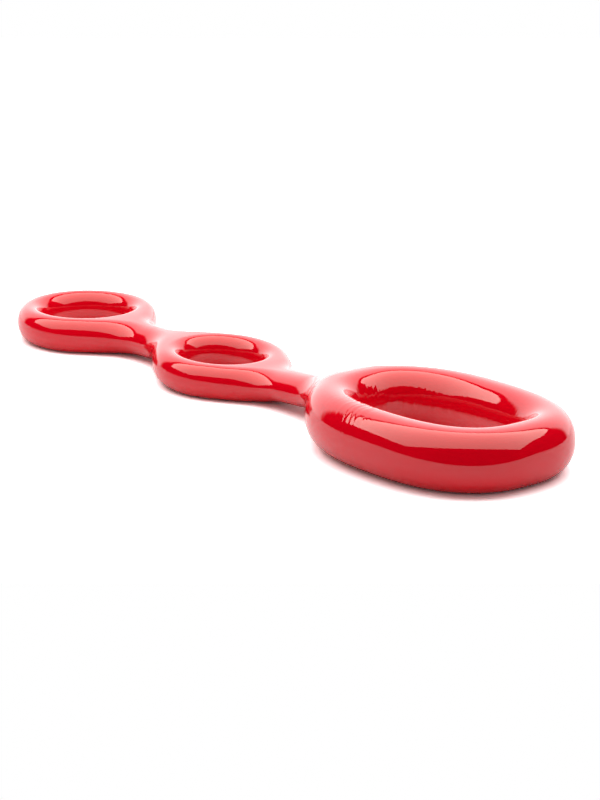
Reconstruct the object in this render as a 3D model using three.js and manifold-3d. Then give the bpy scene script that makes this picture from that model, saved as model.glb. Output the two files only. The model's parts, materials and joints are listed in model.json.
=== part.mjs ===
// A soft chain of three rings, joined end to end by two flexible necks: a large oval ring for a whole hand,
// then two small rings for two or three fingers. It lies on a surface, so every ring has a slightly flattened foot.
//
// Each ring is a foam core cut as two layers, with a cord hoop laid between them, in a glossy dipped skin. A tether
// cord runs through each neck from hoop to hoop and carries the pull. A neck bends at two places: it lifts at the
// bend beside the larger ring and swings at the other, so its foam is a dumbbell whose ball ends turn in cups in
// the rings' roots.
//
// Millimetres. +X runs along the chain to the large ring, +Z is up, and the origin is on the surface, at the middle
// of the chain's length.
import * as THREE from "three";
import { ParametricGeometry } from "three/addons/geometries/ParametricGeometry.js";
import { mergeVertices } from "three/addons/utils/BufferGeometryUtils.js";
import Module from "manifold-3d";

const wasm = await Module();
wasm.setup();

// Rings: outside length along the chain, outside width, and how square the oval is (2 is an ellipse).
const LARGE_RING = { length: 185, width: 141, squareness: 2.5 };
const MIDDLE_RING = { length: 106, width: 91, squareness: 2 };
const END_RING = { length: 105, width: 99, squareness: 2 };
const MIDDLE_RING_TILT = THREE.MathUtils.degToRad(1.5); // its front edge is held up by the large ring's neck

// The tube that each ring is bent from, and how much of its underside is flattened where it rests.
const LARGE_TUBE = { width: 33, height: 41.4, foot: 0.6 };
const SMALL_TUBE = { width: 19.6, height: 26, foot: 0.5 };

// Necks: length from ring wall to ring wall, and the distance between the two places where each one bends.
const FRONT_NECK = { length: 73, bends: 30 };
const REAR_NECK = { length: 57, bends: 28 };
const BALL_RADIUS = SMALL_TUBE.height / 2 - 0.6; // a neck's ends are a little slimmer than the small tube is high
const WAIST_RADIUS = BALL_RADIUS - 1.2;

// A ring's root is as slim as a neck at its end and flares into the tube, by so much to each side, up and down.
const ROOT_END_RADIUS = BALL_RADIUS - 0.9;
const LARGE_ROOT = { flareLength: 32, side: 22, top: 7 };
const SMALL_ROOT = { flareLength: 25, side: 9, top: 1 };
const FLARE_POWER = 2.5; // 1 would be a cone

// What the rings and necks are made of.
const SKIN = 2;
const HOOP_RADIUS = 2.5;
const FIT = 0.3; // between parts that touch
const BALL_CLEARANCE = 0.4; // between a ball and its cup
const NECK_MOUTH_RADIUS = 5; // the hole in each ball's skin that the tether leaves by
const FOAM_BESIDE_EYE = 0.4; // the least foam between a tether's eye and the skin
// The eye fills what a small ring's foam leaves round the hoop.
const TETHER_RADIUS = (SMALL_TUBE.width / 2 - SKIN - FIT - FOAM_BESIDE_EYE - HOOP_RADIUS - 2 * FIT) / 2;

// How finely the soft shapes are faceted.
const LARGE_STEPS = 24;
const SMALL_STEPS = 20;
const TUBE_SIDES = 12;
const CORD_SIDES = 6;
const NECK_SIDES = 16;
const PROFILE_STEPS = 4; // in each stretch of a neck's or a root's profile
const FLAT_DEPTH = Math.cos(Math.PI / NECK_SIDES) ** 2; // the flats of a faceted ball lie this much nearer its centre

const skinMaterial = new THREE.MeshStandardMaterial({ color: 0xc8000f, roughness: 0.06 });
const foamMaterial = new THREE.MeshStandardMaterial({ color: 0xe9e4d8, roughness: 0.95 });
const cordMaterial = new THREE.MeshStandardMaterial({ color: 0xd9d2bf, roughness: 0.85 });

// ---- solids ----

/** A closed geometry as a manifold-3d solid. */
function solidFrom(geometry) {
  const bare = geometry.clone();
  bare.deleteAttribute("normal");
  bare.deleteAttribute("uv");
  const merged = mergeVertices(bare, 1e-4);
  const index = merged.index.array;
  const kept = [];
  for (let i = 0; i < index.length; i += 3) {
    const [a, b, c] = [index[i], index[i + 1], index[i + 2]];
    if (a !== b && b !== c && c !== a) kept.push(a, b, c);
  }
  const vertProperties = new Float32Array(merged.attributes.position.array);
  const mesh = new wasm.Mesh({ numProp: 3, vertProperties, triVerts: new Uint32Array(kept) });
  return new wasm.Manifold(mesh);
}

/** A solid as a geometry that a mesh can hold. */
function geometryOf(solid) {
  const mesh = solid.getMesh();
  const geometry = new THREE.BufferGeometry();
  geometry.setAttribute("position", new THREE.BufferAttribute(mesh.vertProperties, 3));
  geometry.setIndex(new THREE.BufferAttribute(mesh.triVerts, 1));
  return geometry;
}

/** A solid moved by a matrix, so that it can be cut in another group's frame. */
function moved(solid, matrix) {
  return solidFrom(geometryOf(solid).applyMatrix4(matrix));
}

function box(low, high) {
  const size = new THREE.Vector3().subVectors(high, low);
  const middle = new THREE.Vector3().addVectors(low, high).divideScalar(2);
  return solidFrom(new THREE.BoxGeometry(size.x, size.y, size.z).translate(middle.x, middle.y, middle.z));
}

function ball(radius, centre) {
  const sphere = new THREE.SphereGeometry(radius, NECK_SIDES, NECK_SIDES / 2).rotateZ(Math.PI / 2);
  return solidFrom(sphere.translate(centre.x, centre.y, centre.z));
}

/** A tube bent round an oval centre line in the XY plane; its section is an ellipse. */
function ovalTube({ halfLength, halfWidth, squareness }, sectionWidth, sectionHeight, steps, sides) {
  const power = 2 / squareness;
  const point = (u, v, target) => {
    const [c, s] = [Math.cos(2 * Math.PI * u), Math.sin(2 * Math.PI * u)];
    const x = Math.sign(c) * Math.abs(c) ** power;
    const y = Math.sign(s) * Math.abs(s) ** power;
    const across = new THREE.Vector2(
      (Math.sign(x) * Math.abs(x) ** (squareness - 1)) / halfLength,
      (Math.sign(y) * Math.abs(y) ** (squareness - 1)) / halfWidth,
    ).normalize();
    const out = (sectionWidth / 2) * Math.cos(2 * Math.PI * v);
    const up = (sectionHeight / 2) * Math.sin(2 * Math.PI * v);
    target.set(halfLength * x + across.x * out, halfWidth * y + across.y * out, up);
  };
  return solidFrom(new ParametricGeometry(point, steps, sides));
}

/** A solid lofted along +X through elliptical stations, with flat ends. */
function loft(stations) {
  const rows = [{ ...stations[0], wide: 0, high: 0 }, ...stations, { ...stations.at(-1), wide: 0, high: 0 }];
  const point = (u, v, target) => {
    const row = rows[Math.round(v * (rows.length - 1))];
    target.set(row.x, row.wide * Math.cos(2 * Math.PI * u), row.high * Math.sin(2 * Math.PI * u));
  };
  return solidFrom(new ParametricGeometry(point, NECK_SIDES, rows.length - 1));
}

/** A profile of [x, radius] points turned round the X axis; it starts and ends on the axis or closes on itself. */
function turned(profile) {
  const points = profile.map(([x, radius]) => new THREE.Vector2(radius, x));
  return solidFrom(new THREE.LatheGeometry(points, NECK_SIDES).rotateZ(-Math.PI / 2));
}

/** A straight cord along +X. */
function cordAlong(from, to, radius) {
  return turned([
    [from, 0],
    [from, radius],
    [to, radius],
    [to, 0],
  ]);
}

/** The hoop of cord that a tether's end makes: a ring in the XZ plane, round the origin. */
function eye(middleRadius, cordRadius) {
  const profile = [];
  for (let i = 0; i <= CORD_SIDES; i += 1) {
    const angle = (2 * Math.PI * i) / CORD_SIDES;
    profile.push(new THREE.Vector2(middleRadius + cordRadius * Math.cos(angle), cordRadius * Math.sin(angle)));
  }
  return solidFrom(new THREE.LatheGeometry(profile, NECK_SIDES));
}

// ---- where everything lies ----

const chainLength =
  END_RING.length + REAR_NECK.length + MIDDLE_RING.length + FRONT_NECK.length + LARGE_RING.length;

/** A ring's own sizes, worked out from its outside size and its tube. */
function ringPlan(ring, tube, root, steps) {
  return {
    ...ring,
    tube,
    root,
    steps,
    line: {
      halfLength: (ring.length - tube.width) / 2,
      halfWidth: (ring.width - tube.width) / 2,
      squareness: ring.squareness,
    },
    footDepth: tube.height / 2 - tube.foot,
  };
}

const largeRing = ringPlan(LARGE_RING, LARGE_TUBE, LARGE_ROOT, LARGE_STEPS);
const middleRing = ringPlan(MIDDLE_RING, SMALL_TUBE, SMALL_ROOT, SMALL_STEPS);
const endRing = ringPlan(END_RING, SMALL_TUBE, SMALL_ROOT, SMALL_STEPS);

largeRing.centre = new THREE.Vector3(chainLength / 2 - LARGE_RING.length / 2, 0, largeRing.footDepth);
endRing.centre = new THREE.Vector3(END_RING.length / 2 - chainLength / 2, 0, endRing.footDepth);
// The middle ring rests on the rear edge of its foot.
const footEdge = middleRing.line.halfLength + SMALL_TUBE.width / 4;
middleRing.centre = new THREE.Vector3(
  endRing.centre.x + END_RING.length / 2 + REAR_NECK.length + MIDDLE_RING.length / 2,
  0,
  footEdge * Math.sin(MIDDLE_RING_TILT) + middleRing.footDepth * Math.cos(MIDDLE_RING_TILT),
);
largeRing.tilt = 0;
middleRing.tilt = MIDDLE_RING_TILT;
endRing.tilt = 0;

/** The group that a ring's parts sit in: its origin is the ring's centre. */
function ringGroup(ring) {
  const group = new THREE.Group();
  group.position.copy(ring.centre);
  group.rotation.y = -ring.tilt;
  group.updateMatrix();
  return group;
}

for (const ring of [largeRing, middleRing, endRing]) ring.group = ringGroup(ring);

/** The point on a ring's centre line where a neck's tether leaves it; side is +1 or -1 along the chain. */
function junction(ring, side) {
  return new THREE.Vector3(side * ring.line.halfLength, 0, 0).applyMatrix4(ring.group.matrix);
}

/** A neck's frame: +X runs from the ring behind it to the ring in front, and the origin is its waist. */
function neckPlan(behind, ahead, { bends }) {
  const from = junction(behind, 1);
  const to = junction(ahead, -1);
  const span = from.distanceTo(to);
  const waist = (span + behind.tube.width / 2 - ahead.tube.width / 2) / 2;
  const group = new THREE.Group();
  group.position.lerpVectors(from, to, waist / span);
  group.rotation.y = -Math.atan2(to.z - from.z, to.x - from.x);
  group.updateMatrix();
  return { group, bends, behind, ahead, toBehind: -waist, toAhead: span - waist };
}

const frontNeck = neckPlan(middleRing, largeRing, FRONT_NECK);
const rearNeck = neckPlan(endRing, middleRing, REAR_NECK);

/** The bend of a neck that is nearer to the ring on that side, in the neck's frame. */
function bend(neck, side) {
  return new THREE.Vector3((side * neck.bends) / 2, 0, 0);
}

/** The matrix from a neck's frame to a ring's. */
function neckToRing(neck, ring) {
  return ring.group.matrix.clone().invert().multiply(neck.group.matrix);
}

// Which end of which neck each ring has: side +1 is the ring ahead of the neck, -1 the ring behind it.
const roots = [
  { ring: largeRing, neck: frontNeck, side: 1 },
  { ring: middleRing, neck: frontNeck, side: -1 },
  { ring: middleRing, neck: rearNeck, side: 1 },
  { ring: endRing, neck: rearNeck, side: -1 },
];

// ---- the rings ----

/** A ring's root: it flares from the bend into the tube. inset takes it in from the outside surface. */
function rootSolid({ ring, neck, side }, inset) {
  const bendAt = neck.bends / 2;
  const tubeAt = side > 0 ? neck.toAhead : -neck.toBehind;
  const flareLength = Math.min(ring.root.flareLength, tubeAt - bendAt);
  const stations = [];
  for (let i = 0; i <= PROFILE_STEPS; i += 1) {
    const x = THREE.MathUtils.lerp(bendAt, tubeAt, i / PROFILE_STEPS);
    const flare = Math.max(0, 1 - (tubeAt - x) / flareLength) ** FLARE_POWER;
    stations.push({
      x,
      wide: ROOT_END_RADIUS + ring.root.side * flare - inset,
      high: ROOT_END_RADIUS + ring.root.top * flare - inset,
    });
  }
  const flip = new THREE.Matrix4().makeRotationZ(side > 0 ? 0 : Math.PI);
  return moved(loft(stations), neckToRing(neck, ring).multiply(flip));
}

/** A ring and its roots, taken in by inset. */
function ringSolid(ring, inset) {
  let solid = ovalTube(ring.line, ring.tube.width - 2 * inset, ring.tube.height - 2 * inset, ring.steps, TUBE_SIDES);
  for (const root of roots) {
    if (root.ring === ring) solid = solid.add(rootSolid(root, inset));
  }
  return solid;
}

/** The round cups that the necks' balls turn in, in the ring's frame, wide enough for a ball's corners. */
function cups(ring, clearance) {
  const radius = (BALL_RADIUS + clearance) / FLAT_DEPTH;
  return roots
    .filter((root) => root.ring === ring)
    .map(({ neck, side }) => moved(ball(radius, bend(neck, side)), neckToRing(neck, ring)));
}

/** The room that the tethers and their eyes need, in the ring's frame. */
function tetherRoom(ring) {
  return roots
    .filter((root) => root.ring === ring)
    .map(({ neck }) => moved(tetherSolid(neck, FIT), neckToRing(neck, ring)));
}

function ringSkin(ring) {
  const foot = box(
    new THREE.Vector3(-ring.length, -ring.width, -ring.tube.height),
    new THREE.Vector3(ring.length, ring.width, -ring.footDepth),
  );
  let skin = ringSolid(ring, 0).subtract(ringSolid(ring, SKIN)).subtract(foot);
  for (const cup of cups(ring, BALL_CLEARANCE)) skin = skin.subtract(cup);
  return skin;
}

/** The ring's foam, with room for its hoop and tethers; half is +1 for the upper layer and -1 for the lower. */
function ringCore(ring, half) {
  const split = (half * FIT) / 2;
  const layer = box(
    new THREE.Vector3(-ring.length, -ring.width, half > 0 ? split : -ring.tube.height),
    new THREE.Vector3(ring.length, ring.width, half > 0 ? ring.tube.height : split),
  );
  let core = ringSolid(ring, SKIN + FIT).intersect(layer).subtract(hoop(ring, FIT));
  for (const cut of [...cups(ring, BALL_CLEARANCE + FIT), ...tetherRoom(ring)]) core = core.subtract(cut);
  return core;
}

/** The cord hoop on the ring's centre line; grow makes the groove that it lies in. */
function hoop(ring, grow) {
  const across = 2 * (HOOP_RADIUS + grow);
  return ovalTube(ring.line, across, across, ring.steps, CORD_SIDES);
}

// ---- the necks ----

/** The profile of a dumbbell with ball ends, taken in by inset, from one mouth to the other. */
function dumbbell(neck, inset, mouth) {
  const half = neck.bends / 2;
  const radius = BALL_RADIUS - inset;
  const waist = WAIST_RADIUS - inset;
  const reach = Math.acos(mouth / radius);
  const ahead = [];
  for (let i = 0; i < PROFILE_STEPS / 2; i += 1) {
    const x = (half * i) / (PROFILE_STEPS / 2);
    ahead.push([x, radius - (radius - waist) * Math.cos((Math.PI * x) / neck.bends) ** 2]);
  }
  for (let i = 0; i <= PROFILE_STEPS; i += 1) {
    const angle = (reach * i) / PROFILE_STEPS;
    ahead.push([half + radius * Math.sin(angle), radius * Math.cos(angle)]);
  }
  const behind = ahead.slice(1).map(([x, r]) => [-x, r]);
  return [...behind.reverse(), ...ahead];
}

function neckSkin(neck) {
  const outside = dumbbell(neck, 0, NECK_MOUTH_RADIUS);
  const inside = dumbbell(neck, SKIN, NECK_MOUTH_RADIUS);
  return turned([...outside, ...inside.reverse(), outside[0]]);
}

function neckCore(neck) {
  const bore = TETHER_RADIUS + FIT;
  const outside = dumbbell(neck, SKIN + FIT, bore);
  return turned([...outside, outside[0]]);
}

/** The tether and the eye at each end of it, in the neck's frame; grow makes the channel that it lies in. */
function tetherSolid(neck, grow) {
  const eyeRadius = HOOP_RADIUS + FIT + TETHER_RADIUS;
  const radius = TETHER_RADIUS + grow;
  let tether = cordAlong(neck.toBehind + eyeRadius, neck.toAhead - eyeRadius, radius);
  for (const x of [neck.toBehind, neck.toAhead]) {
    const place = new THREE.Matrix4().makeTranslation(x, 0, 0);
    tether = tether.add(moved(eye(eyeRadius, radius), place));
  }
  return tether;
}

// ---- the object ----

const chain = new THREE.Group();

function addPart(group, name, solid, material) {
  const mesh = new THREE.Mesh(geometryOf(solid), material);
  mesh.name = name;
  group.add(mesh);
}

for (const [name, ring] of [
  ["large_ring", largeRing],
  ["middle_ring", middleRing],
  ["end_ring", endRing],
]) {
  addPart(ring.group, `${name}_skin`, ringSkin(ring), skinMaterial);
  addPart(ring.group, `${name}_upper_core`, ringCore(ring, 1), foamMaterial);
  addPart(ring.group, `${name}_lower_core`, ringCore(ring, -1), foamMaterial);
  addPart(ring.group, `${name}_hoop`, hoop(ring, 0), cordMaterial);
  chain.add(ring.group);
}

for (const [name, neck] of [
  ["front_neck", frontNeck],
  ["rear_neck", rearNeck],
]) {
  addPart(neck.group, `${name}_skin`, neckSkin(neck), skinMaterial);
  addPart(neck.group, `${name}_core`, neckCore(neck), foamMaterial);
  addPart(neck.group, `${name}_tether`, tetherSolid(neck, 0), cordMaterial);
  chain.add(neck.group);
}

export default chain;
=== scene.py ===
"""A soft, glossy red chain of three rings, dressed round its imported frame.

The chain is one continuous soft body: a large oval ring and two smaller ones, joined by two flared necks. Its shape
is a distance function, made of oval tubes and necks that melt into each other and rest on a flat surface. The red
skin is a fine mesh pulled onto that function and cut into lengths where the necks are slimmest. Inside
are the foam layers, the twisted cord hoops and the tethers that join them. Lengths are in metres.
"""

from __future__ import annotations

import json
import logging
import math
from dataclasses import dataclass, field, replace
from enum import Enum
from typing import Optional, Sequence, Union

import bmesh
import bpy
import numpy as np
from mathutils import Matrix, Vector

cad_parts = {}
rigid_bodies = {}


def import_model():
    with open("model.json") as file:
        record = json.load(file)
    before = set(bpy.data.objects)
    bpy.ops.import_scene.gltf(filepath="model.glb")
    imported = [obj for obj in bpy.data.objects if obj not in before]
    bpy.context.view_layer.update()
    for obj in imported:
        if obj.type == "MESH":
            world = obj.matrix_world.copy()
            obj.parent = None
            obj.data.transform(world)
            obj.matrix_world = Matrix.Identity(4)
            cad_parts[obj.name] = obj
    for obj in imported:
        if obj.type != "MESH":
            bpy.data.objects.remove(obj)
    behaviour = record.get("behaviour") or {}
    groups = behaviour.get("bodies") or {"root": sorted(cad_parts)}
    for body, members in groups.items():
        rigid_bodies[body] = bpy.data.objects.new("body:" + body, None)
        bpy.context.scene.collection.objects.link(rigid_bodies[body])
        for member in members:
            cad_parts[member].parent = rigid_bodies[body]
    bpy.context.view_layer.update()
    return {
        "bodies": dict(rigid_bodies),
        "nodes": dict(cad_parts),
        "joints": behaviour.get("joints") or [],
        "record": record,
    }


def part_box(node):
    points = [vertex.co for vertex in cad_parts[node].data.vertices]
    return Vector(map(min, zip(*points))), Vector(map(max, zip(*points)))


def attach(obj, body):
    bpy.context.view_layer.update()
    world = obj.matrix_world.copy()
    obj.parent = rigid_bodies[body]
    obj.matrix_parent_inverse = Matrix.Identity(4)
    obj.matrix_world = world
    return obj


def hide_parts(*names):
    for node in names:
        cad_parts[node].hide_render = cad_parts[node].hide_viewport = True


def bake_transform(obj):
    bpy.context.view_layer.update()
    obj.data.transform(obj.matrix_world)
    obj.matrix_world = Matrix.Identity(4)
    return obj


LOG = logging.getLogger("ring_chain")
Array = np.ndarray
Feed = Union[float, Sequence[float], bpy.types.NodeSocket, bpy.types.ID]
MM = 0.001


class Layer(Enum):
    """The two layers that a ring's foam is laid up in."""

    UPPER = "upper"
    LOWER = "lower"


# ---- the soft shape ----


def smooth_least(a: Array, b: Array, radius: float) -> Array:
    """The lesser of two distances, rounded over a radius, so that two solids melt together.

    Args:
        a: The first solid's distances.
        b: The second solid's distances.
        radius: How far apart the distances are where the rounding starts.

    Returns:
        The distances from the joined solid.
    """
    near = np.maximum(radius - np.abs(a - b), 0.0) / radius
    return np.minimum(a, b) - near**2 * radius / 4


def section_distance(across: Array, up: Array, half_width: Array, half_height: Array, power: Array) -> Array:
    """How far points are outside a rounded section.

    Args:
        across: Each point's offset across the section.
        up: Each point's offset up the section.
        half_width: Half the section's width.
        half_height: Half the section's height.
        power: 2 for an ellipse, more for a squarer section.

    Returns:
        The distances, negative inside.
    """
    wide, high = np.abs(across) / half_width, np.abs(up) / half_height
    level = np.maximum(wide**power + high**power, 1e-9)
    size = level ** (1 / power)
    shrink = size / level
    slope = np.hypot(shrink * wide ** (power - 1) / half_width, shrink * high ** (power - 1) / half_height)
    return (size - 1) / np.maximum(slope, 1e-3)


@dataclass
class OvalTube:
    """A tube bent round an oval centre line that lies nearly flat."""

    centre: Array
    half_length: float
    half_width: float
    squareness: float
    tube_width: float
    tube_height: float
    tilt: float = 0.0
    roll: float = 0.0
    rounder_back: float = 0.0
    top_power: float = 2.2
    bottom_power: float = 1.85

    def axes(self) -> Array:
        """The tube's own directions.

        Returns:
            Its X, Y and Z, as rows.
        """
        cos, sin = math.cos(self.tilt), math.sin(self.tilt)
        turn, lean = math.cos(self.roll), math.sin(self.roll)
        ahead = np.array([cos, 0, sin])
        side = np.array([-sin * lean, turn, cos * lean])
        return np.stack([ahead, side, np.cross(ahead, side)])

    def to_local(self, points: Array) -> Array:
        """Points in the tube's own frame, whose Z is square to the oval."""
        return (points - self.centre) @ self.axes().T

    def tip(self, side: int) -> Array:
        """The centre line's front end, for side 1, or its back end, for side -1."""
        return self.centre + side * self.half_length * self.axes()[0]

    def line(self, angle: Array) -> Array:
        """Points of the centre line.

        Args:
            angle: The angles round the oval.

        Returns:
            The X and Y at each angle, in the tube's frame.
        """
        cos, sin = np.cos(angle), np.sin(angle)
        power = self.squareness + self.rounder_back * cos
        radius = (np.abs(cos / self.half_length) ** power + np.abs(sin / self.half_width) ** power) ** (-1 / power)
        return np.stack([radius * cos, radius * sin], axis=1)

    def foot(self, flat: Array, rounds: int = 6) -> tuple[Array, Array]:
        """Where the centre line is nearest to each point.

        Args:
            flat: The points' X and Y in the tube's frame.
            rounds: How many times the answer is improved.

        Returns:
            The angle round the oval of each nearest point, and the distance outwards from it.
        """
        step = 1e-4
        angle = np.arctan2(flat[:, 1] * self.half_length, flat[:, 0] * self.half_width)
        for _ in range(rounds):
            here, ahead, behind = self.line(angle), self.line(angle + step), self.line(angle - step)
            speed = (ahead - behind) / (2 * step)
            turn = (ahead - 2 * here + behind) / step**2
            pace = (speed**2).sum(1)
            error = ((flat - here) * speed).sum(1)
            slope = np.minimum(((flat - here) * turn).sum(1) - pace, -0.2 * pace)
            angle = angle - np.clip(error / slope, -0.15, 0.15)
        here = self.line(angle)
        speed = self.line(angle + step) - self.line(angle - step)
        outward = np.stack([speed[:, 1], -speed[:, 0]], axis=1)
        outward /= np.linalg.norm(outward, axis=1, keepdims=True)
        return angle, ((flat - here) * outward).sum(1)

    def power(self, up: Array) -> Array:
        """How square the section is at each height above its middle: rounder below than above."""
        share = np.clip(up / self.tube_height + 0.5, 0, 1)
        return self.bottom_power + (self.top_power - self.bottom_power) * share * share * (3 - 2 * share)


@dataclass(frozen=True)
class RingShape:
    """How one ring differs from the plain oval of its cord hoop."""

    hoop: str
    tube_width: float
    tube_height: float
    squareness: float = 2.0
    longer: float = 0.0
    wider: float = 0.0
    shift: tuple[float, float, float] = (0.0, 0.0, 0.0)
    tilt: float = 0.0
    roll: float = 0.0
    rounder_back: float = 0.0

    def tube(self, cord_radius: float) -> OvalTube:
        """The ring's soft tube, placed from its hoop in the frame.

        Args:
            cord_radius: The radius of the hoop's cord.

        Returns:
            The tube.
        """
        low, high = (np.array(corner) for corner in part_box(self.hoop))
        half = (high - low) / 2 - cord_radius
        return OvalTube(
            centre=(low + high) / 2 + np.array(self.shift),
            half_length=half[0] + self.longer,
            half_width=half[1] + self.wider,
            squareness=self.squareness,
            tube_width=self.tube_width,
            tube_height=self.tube_height,
            tilt=math.radians(self.tilt),
            roll=math.radians(self.roll),
            rounder_back=self.rounder_back,
        )


@dataclass
class Neck:
    """A slim bridge between two rings, which widens into each of them."""

    start: Array
    stop: Array
    half_width: float
    half_height: float
    start_flare: float
    stop_flare: float

    def outline(self, points: Array) -> Array:
        """How far points are outside the neck's sides, seen from above.

        Args:
            points: The points.

        Returns:
            The distances, negative inside.
        """
        line = (self.stop - self.start)[:2]
        length = float(np.linalg.norm(line))
        along = line / length
        offset = points[:, :2] - self.start[:2]
        reach = offset @ along
        aside = offset @ np.array([-along[1], along[0]])
        return np.hypot(aside, reach - np.clip(reach, 0, length)) - self.half_width

    def above_axis(self, points: Array) -> Array:
        """How far points are above the neck's middle line."""
        share = (points[:, 0] - self.start[0]) / (self.stop[0] - self.start[0])
        return points[:, 2] - (self.start[2] + share * (self.stop[2] - self.start[2]))

    def share(self, points: Array, tube: OvalTube) -> Array:
        """How far each point is on the way from a ring's centre line to the neck's slim middle.

        Args:
            points: The points.
            tube: The ring's tube.

        Returns:
            The shares of the way, from 0 to 1.
        """
        if abs(self.start[0] - tube.centre[0]) < abs(self.stop[0] - tube.centre[0]):
            way = (points[:, 0] - self.start[0]) / self.start_flare
        else:
            way = (self.stop[0] - points[:, 0]) / self.stop_flare
        way = np.clip(way, 0, 1)
        return way * way * (3 - 2 * way)


@dataclass
class Creases:
    """The fine wrinkles that bending leaves across a tube's inner side, and a few on its near side."""

    tube: OvalTube
    depth: float = 0.08 * MM
    pitches: tuple[float, ...] = (3.1 * MM, 4.3 * MM, 6.1 * MM, 9.7 * MM, 17 * MM)
    coarser: float = 0.35
    wander: float = 1.3
    wander_pitches: float = 5.3
    inner_side: float = 0.35
    lean: float = 0.25
    far_share: float = 0.42
    neck_share: float = 0.33
    top_level: float = 0.42
    top_fade: float = 0.22
    front_angle: float = 1.85
    front_spread: float = 0.32
    front_share: float = 0.6

    def height(self, points: Array) -> Array:
        """How far the creases raise or sink the surface.

        Args:
            points: The points.

        Returns:
            The height at each point.
        """
        local = self.tube.to_local(points)
        angle, out = self.tube.foot(local[:, :2])
        reach = angle * (self.tube.half_length + self.tube.half_width) / 2 + self.lean * local[:, 2]
        wave = np.zeros(len(points))
        for number, pitch in enumerate(self.pitches):
            shift = self.wander * np.sin(2 * math.pi * reach / (pitch * self.wander_pitches) + 1.7 * number)
            share = (pitch / self.pitches[-1]) ** self.coarser
            wave += np.sin(2 * math.pi * reach / pitch + shift + 2.1 * number) * share
        side = -out / (self.tube.tube_width / 2)
        inner = np.clip((side + self.inner_side) / (1 + self.inner_side), 0, 1) ** 1.5
        patchy = 0.6 + 0.4 * np.sin(3 * angle + 0.8) * np.sin(5 * angle + 2.0)
        towards_neck = self.far_share + self.neck_share * np.clip(-np.cos(angle), 0, 1)
        level = local[:, 2] / self.tube.tube_height
        above_foot = np.clip(1.1 + 2.2 * level, 0, 1)
        below_top = np.clip((self.top_level - level) / self.top_fade, 0, 1)
        front = self.front_share * self.front_patch(angle, out)
        return self.depth * wave * above_foot * (inner * patchy * towards_neck * below_top + front)

    def front_patch(self, angle: Array, out: Array) -> Array:
        """Where the near side's few creases are, across its top and down its outer face."""
        away = (angle + self.front_angle) / self.front_spread
        return np.exp(-(away**2)) * np.clip(1 - out / self.tube.tube_width * 1.6, 0, 1)


@dataclass
class SoftBody:
    """The whole soft chain as one distance function."""

    large: OvalTube
    middle: OvalTube
    end: OvalTube
    front: Neck
    rear: Neck
    creases: Creases
    large_fillet: float = 34 * MM
    small_fillet: float = 27 * MM
    foot_fillet: float = 2 * MM
    swell: float = 0.12 * MM

    @staticmethod
    def joined(points: Array, tube: OvalTube, necks: Sequence[Neck], fillet: float) -> Array:
        """How far points are outside a ring and the necks that melt into it.

        Args:
            points: The points.
            tube: The ring's tube.
            necks: The necks at its ends.
            fillet: The size of the rounding between them, seen from above.

        Returns:
            The distances, negative inside.
        """
        local = tube.to_local(points)
        _, out = tube.foot(local[:, :2])
        half_width = np.full(len(points), tube.tube_width / 2)
        half_height = np.full(len(points), tube.tube_height / 2)
        up = local[:, 2]
        edge = out - tube.tube_width / 2
        for neck in necks:
            share = neck.share(points, tube)
            edge = smooth_least(edge, neck.outline(points), fillet)
            half_width = half_width + share * (neck.half_width - half_width)
            half_height = half_height + share * (neck.half_height - half_height)
            up = up + share * (neck.above_axis(points) - up)
        across = np.maximum(np.maximum(edge + half_width, -out), 0)
        return section_distance(across, up, half_width, half_height, tube.power(up))

    def distance(self, points: Array) -> Array:
        """How far points are outside the chain.

        Args:
            points: The points.

        Returns:
            The distances, negative inside.
        """
        front_middle = (self.front.start[0] + self.front.stop[0]) / 2
        rear_middle = (self.rear.start[0] + self.rear.stop[0]) / 2
        level = np.empty(len(points))
        ahead = points[:, 0] >= front_middle
        behind = points[:, 0] < rear_middle
        between = ~ahead & ~behind
        level[ahead] = self.joined(points[ahead], self.large, [self.front], self.large_fillet)
        level[between] = self.joined(points[between], self.middle, [self.front, self.rear], self.small_fillet)
        level[behind] = self.joined(points[behind], self.end, [self.rear], self.small_fillet)
        level[ahead] -= self.creases.height(points[ahead])
        level -= self.swell * self.slow_waves(points)
        return -smooth_least(-level, points[:, 2], self.foot_fillet)

    @staticmethod
    def slow_waves(points: Array) -> Array:
        """A gentle unevenness, as a soft dipped surface has, between about -1 and 1."""
        x, y, z = (points / (9 * MM)).T
        return (np.sin(0.61 * x + 1.3 * np.sin(0.5 * z)) + np.sin(0.53 * y + 0.9 * np.sin(0.37 * x) + 1.1)) / 2

    def normals(self, points: Array) -> Array:
        """The directions that point straight out of the surface.

        Args:
            points: The points, on the surface or near it.

        Returns:
            A unit direction for each point.
        """
        step = 0.02 * MM
        slope = np.empty_like(points)
        for axis in range(3):
            shift = np.zeros(3)
            shift[axis] = step
            slope[:, axis] = self.distance(points + shift) - self.distance(points - shift)
        return slope / np.linalg.norm(slope, axis=1, keepdims=True)

    def pulled_on(self, points: Array, depth: float = 0.0, held_x: Optional[Array] = None) -> Array:
        """Points moved straight onto the surface, or to a depth under it.

        Args:
            points: The points, already near the surface.
            depth: How far under the surface they go.
            held_x: Which points keep their place along the chain, as a boolean array.

        Returns:
            The moved points.
        """
        for _ in range(4):
            way = self.normals(points)
            if held_x is not None:
                way[held_x, 0] = 0
                way /= np.linalg.norm(way, axis=1, keepdims=True)
            points = points - way * (self.distance(points) + depth)[:, None]
        return points


# ---- mesh helpers ----


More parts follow.
